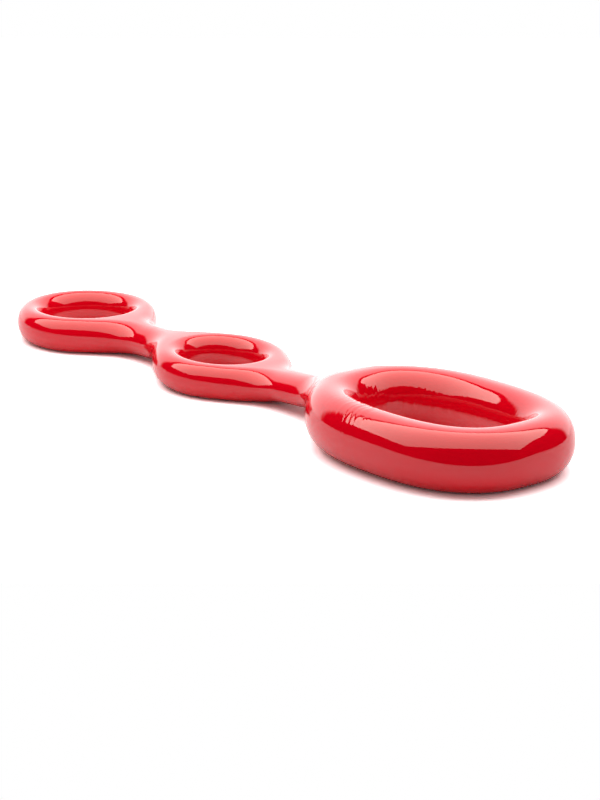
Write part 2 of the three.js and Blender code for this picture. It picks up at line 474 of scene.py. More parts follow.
@dataclass
class Patch:
    """A mesh as plain arrays."""

    points: Array
    faces: list[tuple[int, ...]]

    @classmethod
    def of(cls, mesh: bpy.types.Mesh) -> Patch:
        """The arrays of a mesh.

        Args:
            mesh: The mesh.

        Returns:
            Its patch.
        """
        points = np.empty(len(mesh.vertices) * 3)
        mesh.vertices.foreach_get("co", points)
        return cls(points.reshape(-1, 3), [tuple(face.vertices) for face in mesh.polygons])

    def mesh(self, name: str) -> bpy.types.Mesh:
        """A mesh of this patch.

        Args:
            name: The mesh's name.

        Returns:
            The mesh.
        """
        mesh = bpy.data.meshes.new(name)
        mesh.from_pydata(self.points.tolist(), [], self.faces)
        mesh.validate()
        return mesh

    def relaxed(self, body: SoftBody, depth: float, rounds: int, pace: float = 0.6) -> Patch:
        """The patch with its points spread evenly over the soft surface.

        Args:
            body: The soft shape.
            depth: How far under its surface the points lie.
            rounds: How many times the points are evened out.
            pace: How much of the way to its neighbours' middle a point goes each time.

        Returns:
            A patch with the same faces.
        """
        edges = np.array([(f[i - 1], f[i]) for f in self.faces for i in range(len(f))])
        links = np.bincount(edges.ravel(), minlength=len(self.points))[:, None]
        points = body.pulled_on(self.points, depth)
        for _ in range(rounds):
            total = np.zeros_like(points)
            np.add.at(total, edges[:, 0], points[edges[:, 1]])
            np.add.at(total, edges[:, 1], points[edges[:, 0]])
            drift = total / links - points
            way = body.normals(points)
            points = points + pace * (drift - way * (drift * way).sum(1)[:, None])
            points = points - way * (body.distance(points) + depth)[:, None]
        return Patch(body.pulled_on(points, depth), self.faces)


def new_object(name: str, mesh: bpy.types.Mesh) -> bpy.types.Object:
    """A linked object that holds a mesh, at the origin.

    Args:
        name: The object's name.
        mesh: The mesh.

    Returns:
        The object.
    """
    made = bpy.data.objects.new(name, mesh)
    bpy.context.scene.collection.objects.link(made)
    return made


def settled(made: bpy.types.Object) -> bpy.types.Mesh:
    """The mesh that an object's modifiers give; the object itself is deleted.

    Args:
        made: An object with live modifiers.

    Returns:
        A plain mesh.
    """
    graph = bpy.context.evaluated_depsgraph_get()
    graph.update()
    mesh = bpy.data.meshes.new_from_object(made.evaluated_get(graph))
    bpy.data.objects.remove(made)
    return mesh


def smooth(mesh: bpy.types.Mesh) -> None:
    """Shades a mesh smooth."""
    mesh.polygons.foreach_set("use_smooth", [True] * len(mesh.polygons))


def crisp(mesh: bpy.types.Mesh) -> None:
    """Shades a mesh smooth, with its cut edges kept sharp."""
    smooth(mesh)
    mesh.set_sharp_from_angle(angle=math.radians(40))


def sliced(mesh: bpy.types.Mesh, place: Array, away: Array) -> None:
    """Cuts a solid along a plane, keeps the part behind it and closes the cut.

    Args:
        mesh: The solid, which is changed.
        place: A point on the plane.
        away: The direction in which material is taken off.
    """
    work = bmesh.new()
    work.from_mesh(mesh)
    everything = [*work.verts, *work.edges, *work.faces]
    cut = bmesh.ops.bisect_plane(work, geom=everything, plane_co=place, plane_no=away, clear_outer=True)
    rim = [part for part in cut["geom_cut"] if isinstance(part, bmesh.types.BMEdge)]
    bmesh.ops.triangle_fill(work, edges=rim, use_beauty=True)
    bmesh.ops.recalc_face_normals(work, faces=work.faces)
    work.to_mesh(mesh)
    work.free()


def carved(mesh: bpy.types.Mesh, tool: bpy.types.Mesh, name: str) -> bpy.types.Mesh:
    """A solid with the shape of a tool taken out of it.

    Args:
        mesh: The solid.
        tool: What is taken out.
        name: The new mesh's name.

    Returns:
        The carved solid.
    """
    solid, cutter = new_object(name, mesh), new_object("cutter", tool)
    modifier = solid.modifiers.new("carve", "BOOLEAN")
    modifier.operation, modifier.solver, modifier.use_self = "DIFFERENCE", "EXACT", True
    modifier.object = cutter
    result = settled(solid)
    bpy.data.objects.remove(cutter)
    result.name = name
    return result


def round_bar(start: Array, stop: Array, radius: float, sides: int = 24) -> bpy.types.Mesh:
    """A plain closed bar between two points.

    Args:
        start: The middle of one end.
        stop: The middle of the other end.
        radius: The bar's radius.
        sides: How many sides it has.

    Returns:
        The bar's mesh.
    """
    line = Vector(stop - start)
    place = Matrix.Translation(Vector((start + stop) / 2)) @ line.to_track_quat("Z", "Y").to_matrix().to_4x4()
    work = bmesh.new()
    bmesh.ops.create_cone(
        work, cap_ends=True, segments=sides, radius1=radius, radius2=radius, depth=line.length, matrix=place
    )
    mesh = bpy.data.meshes.new("bar")
    work.to_mesh(mesh)
    work.free()
    return mesh


def joined(meshes: Sequence[bpy.types.Mesh]) -> bpy.types.Mesh:
    """One mesh that holds several.

    Args:
        meshes: The meshes.

    Returns:
        The new mesh.
    """
    work = bmesh.new()
    for mesh in meshes:
        work.from_mesh(mesh)
    result = bpy.data.meshes.new("joined")
    work.to_mesh(result)
    work.free()
    return result


# ---- node trees ----


class NodeWork:
    """A node tree that is being built, of any kind."""

    def __init__(self, tree: bpy.types.NodeTree) -> None:
        """Takes up a tree."""
        self.tree = tree

    def feed(self, node: bpy.types.Node, inputs: dict[str | int, Feed]) -> None:
        """Sets a node's inputs.

        Args:
            node: The node.
            inputs: A value or a socket for each input, by name or number.
        """
        for key, value in inputs.items():
            if isinstance(value, bpy.types.NodeSocket):
                self.tree.links.new(value, node.inputs[key])
            else:
                node.inputs[key].default_value = value

    def node(self, kind: str, inputs: Optional[dict[str | int, Feed]] = None, **settings: object) -> bpy.types.Node:
        """Adds a node.

        Args:
            kind: The node's type.
            inputs: A value or a socket for each input, by name or number.
            **settings: The node's own properties.

        Returns:
            The node.
        """
        made = self.tree.nodes.new(kind)
        for key, value in settings.items():
            setattr(made, key, value)
        self.feed(made, inputs or {})
        return made

    def maths(self, operation: str, *values: Feed) -> bpy.types.NodeSocket:
        """A Math node's answer."""
        return self.node("ShaderNodeMath", dict(enumerate(values)), operation=operation).outputs[0]

    def vector(self, operation: str, *values: Feed, scale: Optional[Feed] = None) -> bpy.types.NodeSocket:
        """A Vector Math node's answer, as a vector.

        Args:
            operation: What it works out.
            *values: Its vectors.
            scale: Its number, where it has one.

        Returns:
            The socket with the answer.
        """
        inputs = dict(enumerate(values))
        if scale is not None:
            inputs["Scale"] = scale
        return self.node("ShaderNodeVectorMath", inputs, operation=operation).outputs["Vector"]


class Tree(NodeWork):
    """A geometry node tree that is being built."""

    def __init__(self, name: str) -> None:
        """Starts an empty tree that gives out a geometry.

        Args:
            name: The tree's name.
        """
        super().__init__(bpy.data.node_groups.new(name, "GeometryNodeTree"))
        self.tree.interface.new_socket("Geometry", in_out="OUTPUT", socket_type="NodeSocketGeometry")
        self.entry = self.node("NodeGroupInput")
        self.exit = self.node("NodeGroupOutput")

    def takes(self, **kinds: str) -> list[bpy.types.NodeSocket]:
        """Adds named inputs.

        Args:
            **kinds: The socket type of each input, without the NodeSocket in front; an underscore in an input's name
                stands for a space.

        Returns:
            The sockets that carry them into the tree.
        """
        names = [name.replace("_", " ") for name in kinds]
        for name, kind in zip(names, kinds.values()):
            self.tree.interface.new_socket(name, in_out="INPUT", socket_type=f"NodeSocket{kind}")
        return [self.entry.outputs[name] for name in names]

    def gives(self, geometry: bpy.types.NodeSocket, material: bpy.types.NodeSocket) -> bpy.types.NodeTree:
        """Ends the tree with plain geometry in one material.

        Args:
            geometry: What the tree has made.
            material: The material to give it.

        Returns:
            The finished tree.
        """
        plain = self.node("GeometryNodeRealizeInstances", {"Geometry": geometry})
        dressed = self.node("GeometryNodeSetMaterial", {"Geometry": plain.outputs[0], "Material": material})
        self.feed(self.exit, {0: dressed.outputs[0]})
        return self.tree


def grow(name: str, start: bpy.types.Mesh, tree: bpy.types.NodeTree, sizes: dict) -> bpy.types.Mesh:
    """The plain mesh that a geometry node tree makes.

    Args:
        name: A name for the mesh.
        start: The mesh that the tree is given.
        tree: The tree.
        sizes: A value for each of the tree's named inputs.

    Returns:
        The finished mesh, with no modifier left.
    """
    holder = new_object(name, start)
    modifier = holder.modifiers.new(name, "NODES")
    modifier.node_group = tree
    identifiers = {item.name: item.identifier for item in tree.interface.items_tree if item.in_out == "INPUT"}
    for key, value in sizes.items():
        modifier[identifiers[key]] = value
    mesh = settled(holder)
    mesh.name = name
    return mesh


def oval_tube_tree() -> bpy.types.NodeTree:
    """A closed tube round an oval centre line in the XY plane.

    Returns:
        The tree, whose inputs are the oval's and the tube's sizes.
    """
    tree = Tree("Oval tube")
    half_length, half_width, squareness, tube_width, tube_height, steps, sides, material = tree.takes(
        Half_Length="Float",
        Half_Width="Float",
        Squareness="Float",
        Tube_Width="Float",
        Tube_Height="Float",
        Steps="Int",
        Sides="Int",
        Material="Material",
    )
    circle = tree.node("GeometryNodeCurvePrimitiveCircle", {"Resolution": steps, "Radius": 1.0})
    position = tree.node("GeometryNodeInputPosition").outputs[0]
    place = tree.node("ShaderNodeSeparateXYZ", {0: position})
    parts = [
        tree.maths("POWER", tree.maths("ABSOLUTE", tree.maths("DIVIDE", place.outputs[axis], half)), squareness)
        for axis, half in (("X", half_length), ("Y", half_width))
    ]
    size = tree.maths("POWER", tree.maths("ADD", *parts), tree.maths("DIVIDE", -1.0, squareness))
    spot = tree.vector("SCALE", position, scale=size)
    oval = tree.node("GeometryNodeSetPosition", {"Geometry": circle.outputs[0], "Position": spot})
    upright = tree.node("GeometryNodeSetCurveNormal", {"Curve": oval.outputs[0]}, mode="Z_UP")
    section = tree.node("GeometryNodeCurvePrimitiveCircle", {"Resolution": sides, "Radius": 0.5})
    scale = tree.node("ShaderNodeCombineXYZ", {"X": tube_width, "Y": tube_height, "Z": 1.0})
    shaped = tree.node("GeometryNodeTransform", {"Geometry": section.outputs[0], "Scale": scale.outputs[0]})
    swept = tree.node("GeometryNodeCurveToMesh", {"Curve": upright.outputs[0], "Profile Curve": shaped.outputs[0]})
    return tree.gives(swept.outputs[0], material)


def twisted_cord_tree() -> bpy.types.NodeTree:
    """A cord of twisted strands along a path of edges.

    Returns:
        The tree, whose inputs are the path, the strands, their turns and the cord's radius.
    """
    tree = Tree("Twisted cord")
    path, strands, turns, radius, steps, sides, material = tree.takes(
        Path="Geometry", Strands="Int", Turns="Float", Radius="Float", Steps="Int", Sides="Int", Material="Material"
    )
    line = tree.node("GeometryNodeMeshToCurve", {"Mesh": path})
    even = tree.node("GeometryNodeResampleCurve", {"Curve": line.outputs[0], "Count": steps})
    copies = tree.node(
        "GeometryNodeDuplicateElements", {"Geometry": even.outputs[0], "Amount": strands}, domain="SPLINE"
    )
    share = tree.maths("DIVIDE", copies.outputs["Duplicate Index"], strands)
    along = tree.node("GeometryNodeSplineParameter").outputs["Factor"]
    angle = tree.maths("MULTIPLY", tree.maths("MULTIPLY_ADD", along, turns, share), 2 * math.pi)
    side = tree.node("GeometryNodeInputNormal").outputs[0]
    other = tree.vector("CROSS_PRODUCT", tree.node("GeometryNodeInputTangent").outputs[0], side)
    lay = tree.maths("MULTIPLY", radius, 0.5)
    shifts = [
        tree.vector("SCALE", way, scale=tree.maths("MULTIPLY", tree.maths(wave, angle), lay))
        for way, wave in ((side, "COSINE"), (other, "SINE"))
    ]
    coiled = tree.node(
        "GeometryNodeSetPosition", {"Geometry": copies.outputs[0], "Offset": tree.vector("ADD", *shifts)}
    )
    strand = tree.node("GeometryNodeCurvePrimitiveCircle", {"Resolution": sides, "Radius": lay})
    spun = tree.node(
        "GeometryNodeCurveToMesh",
        {"Curve": coiled.outputs[0], "Profile Curve": strand.outputs[0], "Fill Caps": True},
    )
    return tree.gives(spun.outputs[0], material)


# ---- finishes ----


class Shading(NodeWork):
    """A material's or the world's node tree that is being built."""

    def __init__(self, name: str, tree: Optional[bpy.types.NodeTree] = None) -> None:
        """Starts a material.

        Args:
            name: The material's name.
            tree: A tree to go on with instead of a new material's.
        """
        self.material: Optional[bpy.types.Material] = None
        if tree is None:
            self.material = bpy.data.materials.new(name)
            self.material.use_nodes = True
            tree = self.material.node_tree
        super().__init__(tree)

    def dress(self, **inputs: Feed) -> bpy.types.Material:
        """Ends a material by setting its Principled shader's inputs.

        Args:
            **inputs: A value or a socket for each input; an underscore in an input's name stands for a space.

        Returns:
            The material.
        """
        named = {name.replace("_", " "): value for name, value in inputs.items()}
        self.feed(self.tree.nodes["Principled BSDF"], named)
        return self.material

    def place(self) -> bpy.types.NodeSocket:
        """The Object coordinates."""
        return self.node("ShaderNodeTexCoord").outputs["Object"]

    def tint(self, share: bpy.types.NodeSocket, first: Sequence[float], last: Sequence[float]) -> bpy.types.NodeSocket:
        """A colour that goes from the first to the last as the share goes from 0 to 1."""
        colours = {0: share, 6: (*first, 1), 7: (*last, 1)}
        return self.node("ShaderNodeMix", colours, data_type="RGBA").outputs[2]

    def either(self, share: bpy.types.NodeSocket, first: Feed, last: Feed) -> bpy.types.NodeSocket:
        """A number that goes from the first to the last as the share goes from 0 to 1."""
        return self.node("ShaderNodeMix", {0: share, 2: first, 3: last}, data_type="FLOAT").outputs[0]

    def ranged(
        self,
        value: bpy.types.NodeSocket,
        low: float,
        high: float,
        first: float = 0.0,
        last: float = 1.0,
        kind: str = "LINEAR",
    ) -> bpy.types.NodeSocket:
        """A number that follows another one from one range to another.

        Args:
            value: The number that it follows.
            low: Where the first range starts.
            high: Where it ends.
            first: What the low end becomes.
            last: What the high end becomes.
            kind: How it goes from one to the other.

        Returns:
            The socket with the new number.
        """
        ranges = {"Value": value, "From Min": low, "From Max": high, "To Min": first, "To Max": last}
        return self.node("ShaderNodeMapRange", ranges, interpolation_type=kind).outputs[0]

    def uneven(self, group: bpy.types.NodeTree, scale: float, detail: float) -> bpy.types.bpy_prop_collection:
        """The unevenness group's outputs, at a scale and with a detail of this finish's own."""
        inputs = {"Vector": self.place(), "Scale": scale, "Detail": detail}
        return self.node("ShaderNodeGroup", inputs, node_tree=group).outputs

    def bump(self, height: bpy.types.NodeSocket, distance: float, strength: float) -> bpy.types.NodeSocket:
        """The normal that a height gives."""
        inputs = {"Strength": strength, "Distance": distance, "Height": height}
        return self.node("ShaderNodeBump", inputs).outputs[0]


def unevenness_group() -> bpy.types.NodeTree:
    """A shader node group that every finish uses: a grain at one scale over slower patches.

    Returns:
        The group, with Vector, Scale and Detail inputs and Grain and Patches outputs.
    """
    group = bpy.data.node_groups.new("Unevenness", "ShaderNodeTree")
    for name, kind in (("Vector", "Vector"), ("Scale", "Float"), ("Detail", "Float")):
        group.interface.new_socket(name, in_out="INPUT", socket_type=f"NodeSocket{kind}")
    for name in ("Grain", "Patches"):
        group.interface.new_socket(name, in_out="OUTPUT", socket_type="NodeSocketFloat")
    work = NodeWork(group)
    given = {socket.name: socket for socket in work.node("NodeGroupInput").outputs if socket.name}
    fine = work.node("ShaderNodeTexNoise", given)
    wider = work.maths("MULTIPLY", given["Scale"], 0.12)
    slow = work.node("ShaderNodeTexNoise", {"Vector": given["Vector"], "Scale": wider, "Detail": 1.0})
    work.node("NodeGroupOutput", {"Grain": fine.outputs["Fac"], "Patches": slow.outputs["Fac"]})
    return group


@dataclass(frozen=True)
class GlossySkin:
    """The dipped red skin: a wet-looking gloss over a slightly uneven surface."""

    colour: tuple[float, float, float] = (0.62, 0.0006, 0.0085)
    deeper: float = 0.92
    roughness: float = 0.035
    refraction: float = 1.5
    ripple_scale: float = 90.0
    ripple_depth: float = 0.02 * MM

    def material(self, unevenness: bpy.types.NodeTree) -> bpy.types.Material:
        """The finished material.

        Args:
            unevenness: The shared group.

        Returns:
            The material.
        """
        work = Shading("red skin")
        grain = work.uneven(unevenness, self.ripple_scale, 1.0)
        return work.dress(
            Base_Color=work.tint(grain["Patches"], [self.deeper * part for part in self.colour], self.colour),
            Roughness=work.ranged(grain["Patches"], 0.0, 1.0, self.roughness * 0.8, self.roughness * 1.25),
            Normal=work.bump(grain["Grain"], self.ripple_depth, 1.0),
            IOR=self.refraction,
        )


@dataclass(frozen=True)
class DryFinish:
    """A matt finish with a grain, for the foam and the cord."""

    name: str
    light: tuple[float, float, float]
    dark: tuple[float, float, float]
    grain_scale: float
    grain_depth: float
    roughness: float
    sheen: float = 0.0

    def material(self, unevenness: bpy.types.NodeTree) -> bpy.types.Material:
        """The finished material.

        Args:
            unevenness: The shared group.

        Returns:
            The material.
        """
        work = Shading(self.name)
        grain = work.uneven(unevenness, self.grain_scale, 4.0)
        return work.dress(
            Base_Color=work.tint(grain["Grain"], self.dark, self.light),
            Normal=work.bump(grain["Grain"], self.grain_depth, 0.8),
            Roughness=self.roughness,
            Sheen_Weight=self.sheen,
        )


@dataclass
class Finishes:
    """The chain's three materials, under the names of the record's slots."""

    skin: bpy.types.Material
    foam: bpy.types.Material
    cord: bpy.types.Material

    @classmethod
    def mixed(cls) -> Finishes:
        """All three, on one shared unevenness.

        Returns:
            The finishes.
        """
        unevenness = unevenness_group()
        foam = DryFinish("white foam", (0.80, 0.77, 0.70), (0.66, 0.63, 0.56), 900.0, 0.25 * MM, 0.9)
        cord = DryFinish("natural cord", (0.66, 0.61, 0.50), (0.44, 0.40, 0.31), 2600.0, 0.1 * MM, 0.8, 0.2)
        return cls(GlossySkin().material(unevenness), foam.material(unevenness), cord.material(unevenness))


# ---- the chain ----


@dataclass
class Joint:
    """One of the frame's bends: which bodies it joins and where."""

    name: str
    parent: str
    child: str
    place: Array


@dataclass
class Stretch:
    """A length of the chain between two planes square to it, with the bodies of the joint by it and a span about that
    joint.
    """

    name: str
    low: float
    high: float
    bodies: tuple[str, str]
    start: float
    stop: float

    def holds(self, x: Array) -> Array:
        """Which of these places along the chain are in this stretch."""
        return (x >= self.low) & (x < self.high)

    def follow(self, piece: bpy.types.Object) -> None:
        """Bakes a piece's place into its mesh; it is not tied to this stretch's two bodies."""
        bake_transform(piece)


@dataclass
class Chain:
    """The whole prop: its soft shape, its pieces and how they follow the frame's bodies."""

    frame: dict
    finishes: Finishes
    large_shape: RingShape = RingShape(
        "large_ring_hoop",
        33.6 * MM,
        41.2 * MM,
        squareness=2.46,
        longer=0.7 * MM,
        wider=-0.6 * MM,
        shift=(-0.6 * MM, 0, -0.4 * MM),
        roll=-1.2,
        rounder_back=0.14,
    )
    middle_shape: RingShape = RingShape(
        "middle_ring_hoop", 20.3 * MM, 24.8 * MM, longer=-1.9 * MM, shift=(-2.2 * MM, 0, -1.3 * MM), tilt=-1.1
    )
    end_shape: RingShape = RingShape("end_ring_hoop", 19.6 * MM, 25.4 * MM, wider=1.6 * MM, shift=(0, 0, 0.2 * MM))
    hoop_radius: float = 2.5 * MM
    tether_radius: float = 2 * MM
    clearance: float = 0.3 * MM
    wall: float = 2 * MM
    front_neck_size: tuple[float, float] = (16.5 * MM, 10.8 * MM)
    rear_neck_size: tuple[float, float] = (14.5 * MM, 11.6 * MM)
    small_flare: float = 34 * MM
    large_flare: float = 46 * MM
    front_neck_drop: float = 1.1 * MM
    skin_grid: float = 1.9 * MM
    foam_grid: float = 3 * MM
    strand_count: int = 3
    twist_length: float = 7.0
    joints: dict[str, Joint] = field(init=False)
    body: SoftBody = field(init=False)
    tube_tree: bpy.types.NodeTree = field(init=False)
    cord_tree: bpy.types.NodeTree = field(init=False)

    def __post_init__(self) -> None:
        """Reads the bends, works out the soft shape and makes the node trees."""
        self.joints = {
            joint["name"]: Joint(joint["name"], joint["parent"], joint["child"], np.array(joint["pos_m"], float))
            for joint in self.frame["joints"]
        }
        self.body = self.soft_body()
        self.tube_tree = oval_tube_tree()
        self.cord_tree = twisted_cord_tree()

    def pieces(self) -> list[bpy.types.Object]:
        """Every piece of the chain, from the skin inwards."""
        return [*self.skin_pieces(), *self.foam_pieces(), *self.hoop_pieces(), *self.tether_pieces()]

    def piece(
        self, name: str, mesh: bpy.types.Mesh, slot: str, rides: Stretch | str, *nodes: str
    ) -> bpy.types.Object:
        """A finished mesh as a piece of the chain, dressed and tied to the frame.

        Args:
            name: The piece's name.
            mesh: Its mesh.
            slot: The record's material slot, which names its finish too.
            rides: The body that it follows, or the stretch that it lies on, which leaves it untied.
            *nodes: The frame's nodes that it stands for.

        Returns:
            The piece.
        """
        mesh.materials.clear()
        mesh.materials.append(getattr(self.finishes, slot))
        made = new_object(name, mesh)
        if isinstance(rides, Stretch):
            rides.follow(made)
        else:
            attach(made, rides)
        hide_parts(*nodes)
        return made

    # -- shape --

    def neck(self, behind: OvalTube, ahead: OvalTube, size: tuple[float, float], drop: float, flare: float) -> Neck:
        """A neck from one ring's centre line to the next one's."""
        return Neck(behind.tip(1), ahead.tip(-1) - np.array([0, 0, drop]), *size, self.small_flare, flare)

    def soft_body(self) -> SoftBody:
        """The chain's distance function, from the frame's boxes.

        Returns:
            The soft shape.
        """
        shapes = (self.large_shape, self.middle_shape, self.end_shape)
        large, middle, end = (shape.tube(self.hoop_radius) for shape in shapes)
        front = self.neck(middle, large, self.front_neck_size, self.front_neck_drop, self.large_flare)
        rear = self.neck(end, middle, self.rear_neck_size, 0.0, self.small_flare)
        return SoftBody(large, middle, end, front, rear, Creases(large))

    # -- stretches --

    def waist(self, lift: str, swing: str) -> float:
        """The place along the chain halfway between a neck's two bends."""
        return float(self.joints[lift].place[0] + self.joints[swing].place[0]) / 2

    def stretches(self) -> list[Stretch]:
        """The four lengths of skin, each by one joint.

        Returns:
            The stretches, from the large ring back.
        """
        front = self.waist("front_neck_lift", "middle_ring_swing")
        rear = self.waist("rear_neck_lift", "end_ring_swing")
        lift, swing = self.joints["front_neck_lift"], self.joints["middle_ring_swing"]
        back_lift, back_swing = self.joints["rear_neck_lift"], self.joints["end_ring_swing"]
        root = 2 * back_lift.place[0] - rear
        return [
            self.bending("large_ring", front, math.inf, lift),
            self.bending("middle_ring", root, front, swing),
            self.bending("rear_neck", rear, root, back_lift),
            self.bending("end_ring", -math.inf, rear, back_swing),
        ]

    @staticmethod
    def bending(name: str, low: float, high: float, joint: Joint) -> Stretch:
        """A stretch by one joint, with a span twice the distance from the joint to the neck's waist.

        Args:
            name: Its name, which is that of the piece of skin on it.
            low: Where it starts along the chain.
            high: Where it ends.
            joint: The joint.

        Returns:
            The stretch.
        """
        waist = low if joint.name.endswith("lift") else high
        far = 2 * float(joint.place[0]) - waist
        start, stop = (far, waist) if joint.name.endswith("lift") else (waist, far)
        return Stretch(name, low, high, (joint.parent, joint.child), start, stop)

    # -- skin --

    def rough_shape(self, grid: float, depth: float = 0.0) -> Patch:
        """An even mesh close to the chain's surface.

        Args:
            grid: The size of its faces.
            depth: How far under the surface it lies.

        Returns:
            The mesh, before it is pulled onto the surface.
        """
        mixed = bmesh.new()
        for tube in (self.body.large, self.body.middle, self.body.end):
            mixed.from_mesh(self.tube_mesh(tube, depth, 32))
        for neck in (self.body.front, self.body.rear):
            for low, high, wide_low, wide_high in self.bridge_lengths(neck):
                place = Matrix.Translation(Vector((low + high) / 2)) @ Matrix.Rotation(math.pi / 2, 4, "Y")
                height = neck.half_height - depth
                flat = Matrix.Diagonal((height / wide_low, 1, 1, 1))
                bmesh.ops.create_cone(
                    mixed,
                    cap_ends=True,
                    segments=48,
                    radius1=wide_low - depth,
                    radius2=wide_high - depth,
                    depth=float(np.linalg.norm(high - low)),
                    matrix=place @ flat,
                )
        mesh = bpy.data.meshes.new("rough")
        bmesh.ops.recalc_face_normals(mixed, faces=mixed.faces)
        mixed.to_mesh(mesh)
        mixed.free()
        rough = new_object("rough", mesh)
        remesh = rough.modifiers.new("even", "REMESH")
        remesh.mode = "VOXEL"
        remesh.voxel_size = grid
        return Patch.of(settled(rough))

    @staticmethod
    def bridge_lengths(neck: Neck) -> list[tuple[Array, Array, float, float]]:
        """The rough cones that a neck starts from.

        Args:
            neck: The neck.

        Returns:
            The ends and the two half-widths of each cone.
        """
        first, second = (neck.start + (neck.stop - neck.start) * share for share in (0.4, 0.6))
        wide, slim = neck.half_width + 20 * MM, neck.half_width
        return [(neck.start, first, wide, slim), (first, second, slim, slim), (second, neck.stop, slim, wide)]

    def tube_mesh(self, tube: OvalTube, depth: float, sides: int) -> bpy.types.Mesh:
        """A plain mesh of a ring's tube, in its place.

        Args:
            tube: The tube.
            depth: How far it is taken in.
            sides: How many sides its section has.

        Returns:
            The mesh.
        """
        sizes = {
            "Half Length": tube.half_length,
            "Half Width": tube.half_width,
            "Squareness": tube.squareness,
            "Tube Width": tube.tube_width - 2 * depth,
            "Tube Height": tube.tube_height - 2 * depth,
            "Steps": 96,
            "Sides": sides,
        }
        mesh = grow("tube", bpy.data.meshes.new("start"), self.tube_tree, sizes)
        mesh.transform(Matrix.Translation(tube.centre) @ Matrix(tube.axes().T.tolist()).to_4x4())
        return mesh

    def fine_shape(self) -> Patch:
        """The skin's outside, cut along the planes between stretches and finer where it is creased.

        Returns:
            The patch.
        """
        mesh = self.rough_shape(self.skin_grid).relaxed(self.body, 0.0, 5).mesh("fine")
        work = bmesh.new()
        work.from_mesh(mesh)
        self.refine_creases(work)
        planes = np.array([stretch.low for stretch in self.stretches()[:-1]])
        for plane in planes:
            everything = [*work.verts, *work.edges, *work.faces]
            bmesh.ops.bisect_plane(work, geom=everything, plane_co=(plane, 0, 0), plane_no=(1, 0, 0))
        work.to_mesh(mesh)
        work.free()
        cut = Patch.of(mesh)
        held = (np.abs(cut.points[:, :1] - planes) < 1e-7).any(axis=1)
        return Patch(self.body.pulled_on(cut.points, 0.0, held), cut.faces)

    def refine_creases(self, work: bmesh.types.BMesh) -> None:
        """Splits the faces on the large ring's inner side and near side, where the creases are.

        Args:
            work: The skin's mesh, which is changed.
        """
        tube = self.body.large
        centres = np.array([face.calc_center_median() for face in work.faces])
        local = tube.to_local(centres)
        angle, out = tube.foot(local[:, :2])
        near_neck = centres[:, 0] < tube.centre[0] - tube.half_length - tube.tube_width / 3
        inner = (out < -0.1 * tube.tube_width / 2) & (out > -tube.tube_width) & (local[:, 2] > -0.3 * tube.tube_height)
        front = (self.body.creases.front_patch(angle, out) > 0.1) & (local[:, 2] > 0)
        chosen = (inner | front) & ~near_neck
        chosen &= centres[:, 0] > self.joints["front_neck_lift"].place[0]
        edges = {edge for face, pick in zip(work.faces, chosen) if pick for edge in face.edges}
        bmesh.ops.subdivide_edges(work, edges=list(edges), cuts=1, use_grid_fill=True)

    def skin_pieces(self) -> list[bpy.types.Object]:
        """The four closed lengths of skin, each with its wall.

        Returns:
            The pieces.
        """
        outside = self.fine_shape()
        normals = self.body.normals(outside.points)
        centres = np.array([outside.points[list(face), 0].mean() for face in outside.faces])
        replaced = {
            "large_ring": ("large_ring_skin", "front_neck_skin"),
            "middle_ring": ("middle_ring_skin", "front_neck_skin"),
            "rear_neck": ("rear_neck_skin",),
            "end_ring": ("end_ring_skin", "rear_neck_skin"),
        }
        pieces = []
        for stretch in self.stretches():
            faces = [face for face, inside in zip(outside.faces, stretch.holds(centres)) if inside]
            name = f"red_skin_{stretch.name}"
            mesh = self.walled(outside.points, normals, faces, name)
            pieces.append(self.piece(name, mesh, "skin", stretch, *replaced[stretch.name]))
        return pieces

    def walled(self, points: Array, normals: Array, faces: list[tuple[int, ...]], name: str) -> bpy.types.Mesh:
        """A closed shell: an outside, an inside one wall under it, and a rim along each open edge.

        Args:
            points: The whole outside's points.
            normals: Their outward directions.
            faces: The faces of this length of it.
            name: The mesh's name.

        Returns:
            The mesh, whose shading follows the soft shape exactly, so that two lengths meet with no line.
        """
        used = np.unique([corner for face in faces for corner in face])
        number = {int(old): new for new, old in enumerate(used)}
        outer = [tuple(number[corner] for corner in face) for face in faces]
        count = len(used)
        inner = [tuple(corner + count for corner in reversed(face)) for face in outer]
        sides = {(face[i - 1], face[i]) for face in outer for i in range(len(face))}
        rims = [(b, a, a + count, b + count) for a, b in sides if (b, a) not in sides]
        shell = np.vstack([points[used], points[used] - normals[used] * self.wall])
        mesh = bpy.data.meshes.new(name)
        mesh.from_pydata(shell.tolist(), [], outer + inner + rims)
        smooth(mesh)
        directions = np.vstack([normals[used], -normals[used]])
        corners = np.empty(len(mesh.loops), int)
        mesh.loops.foreach_get("vertex_index", corners)
        shading = directions[corners]
        first = len(mesh.loops) - 4 * len(rims)
        for place, rim in enumerate(rims):
            face = mesh.polygons[len(outer) + len(inner) + place]
            shading[first + 4 * place : first + 4 * place + 4] = face.normal
        mesh.normals_split_custom_set(shading.tolist())
        return mesh

    # -- foam --

    def rings(self) -> dict[str, OvalTube]:
        """The three rings' tubes by the frame's body names."""
        return {"large_ring": self.body.large, "middle_ring": self.body.middle, "end_ring": self.body.end}

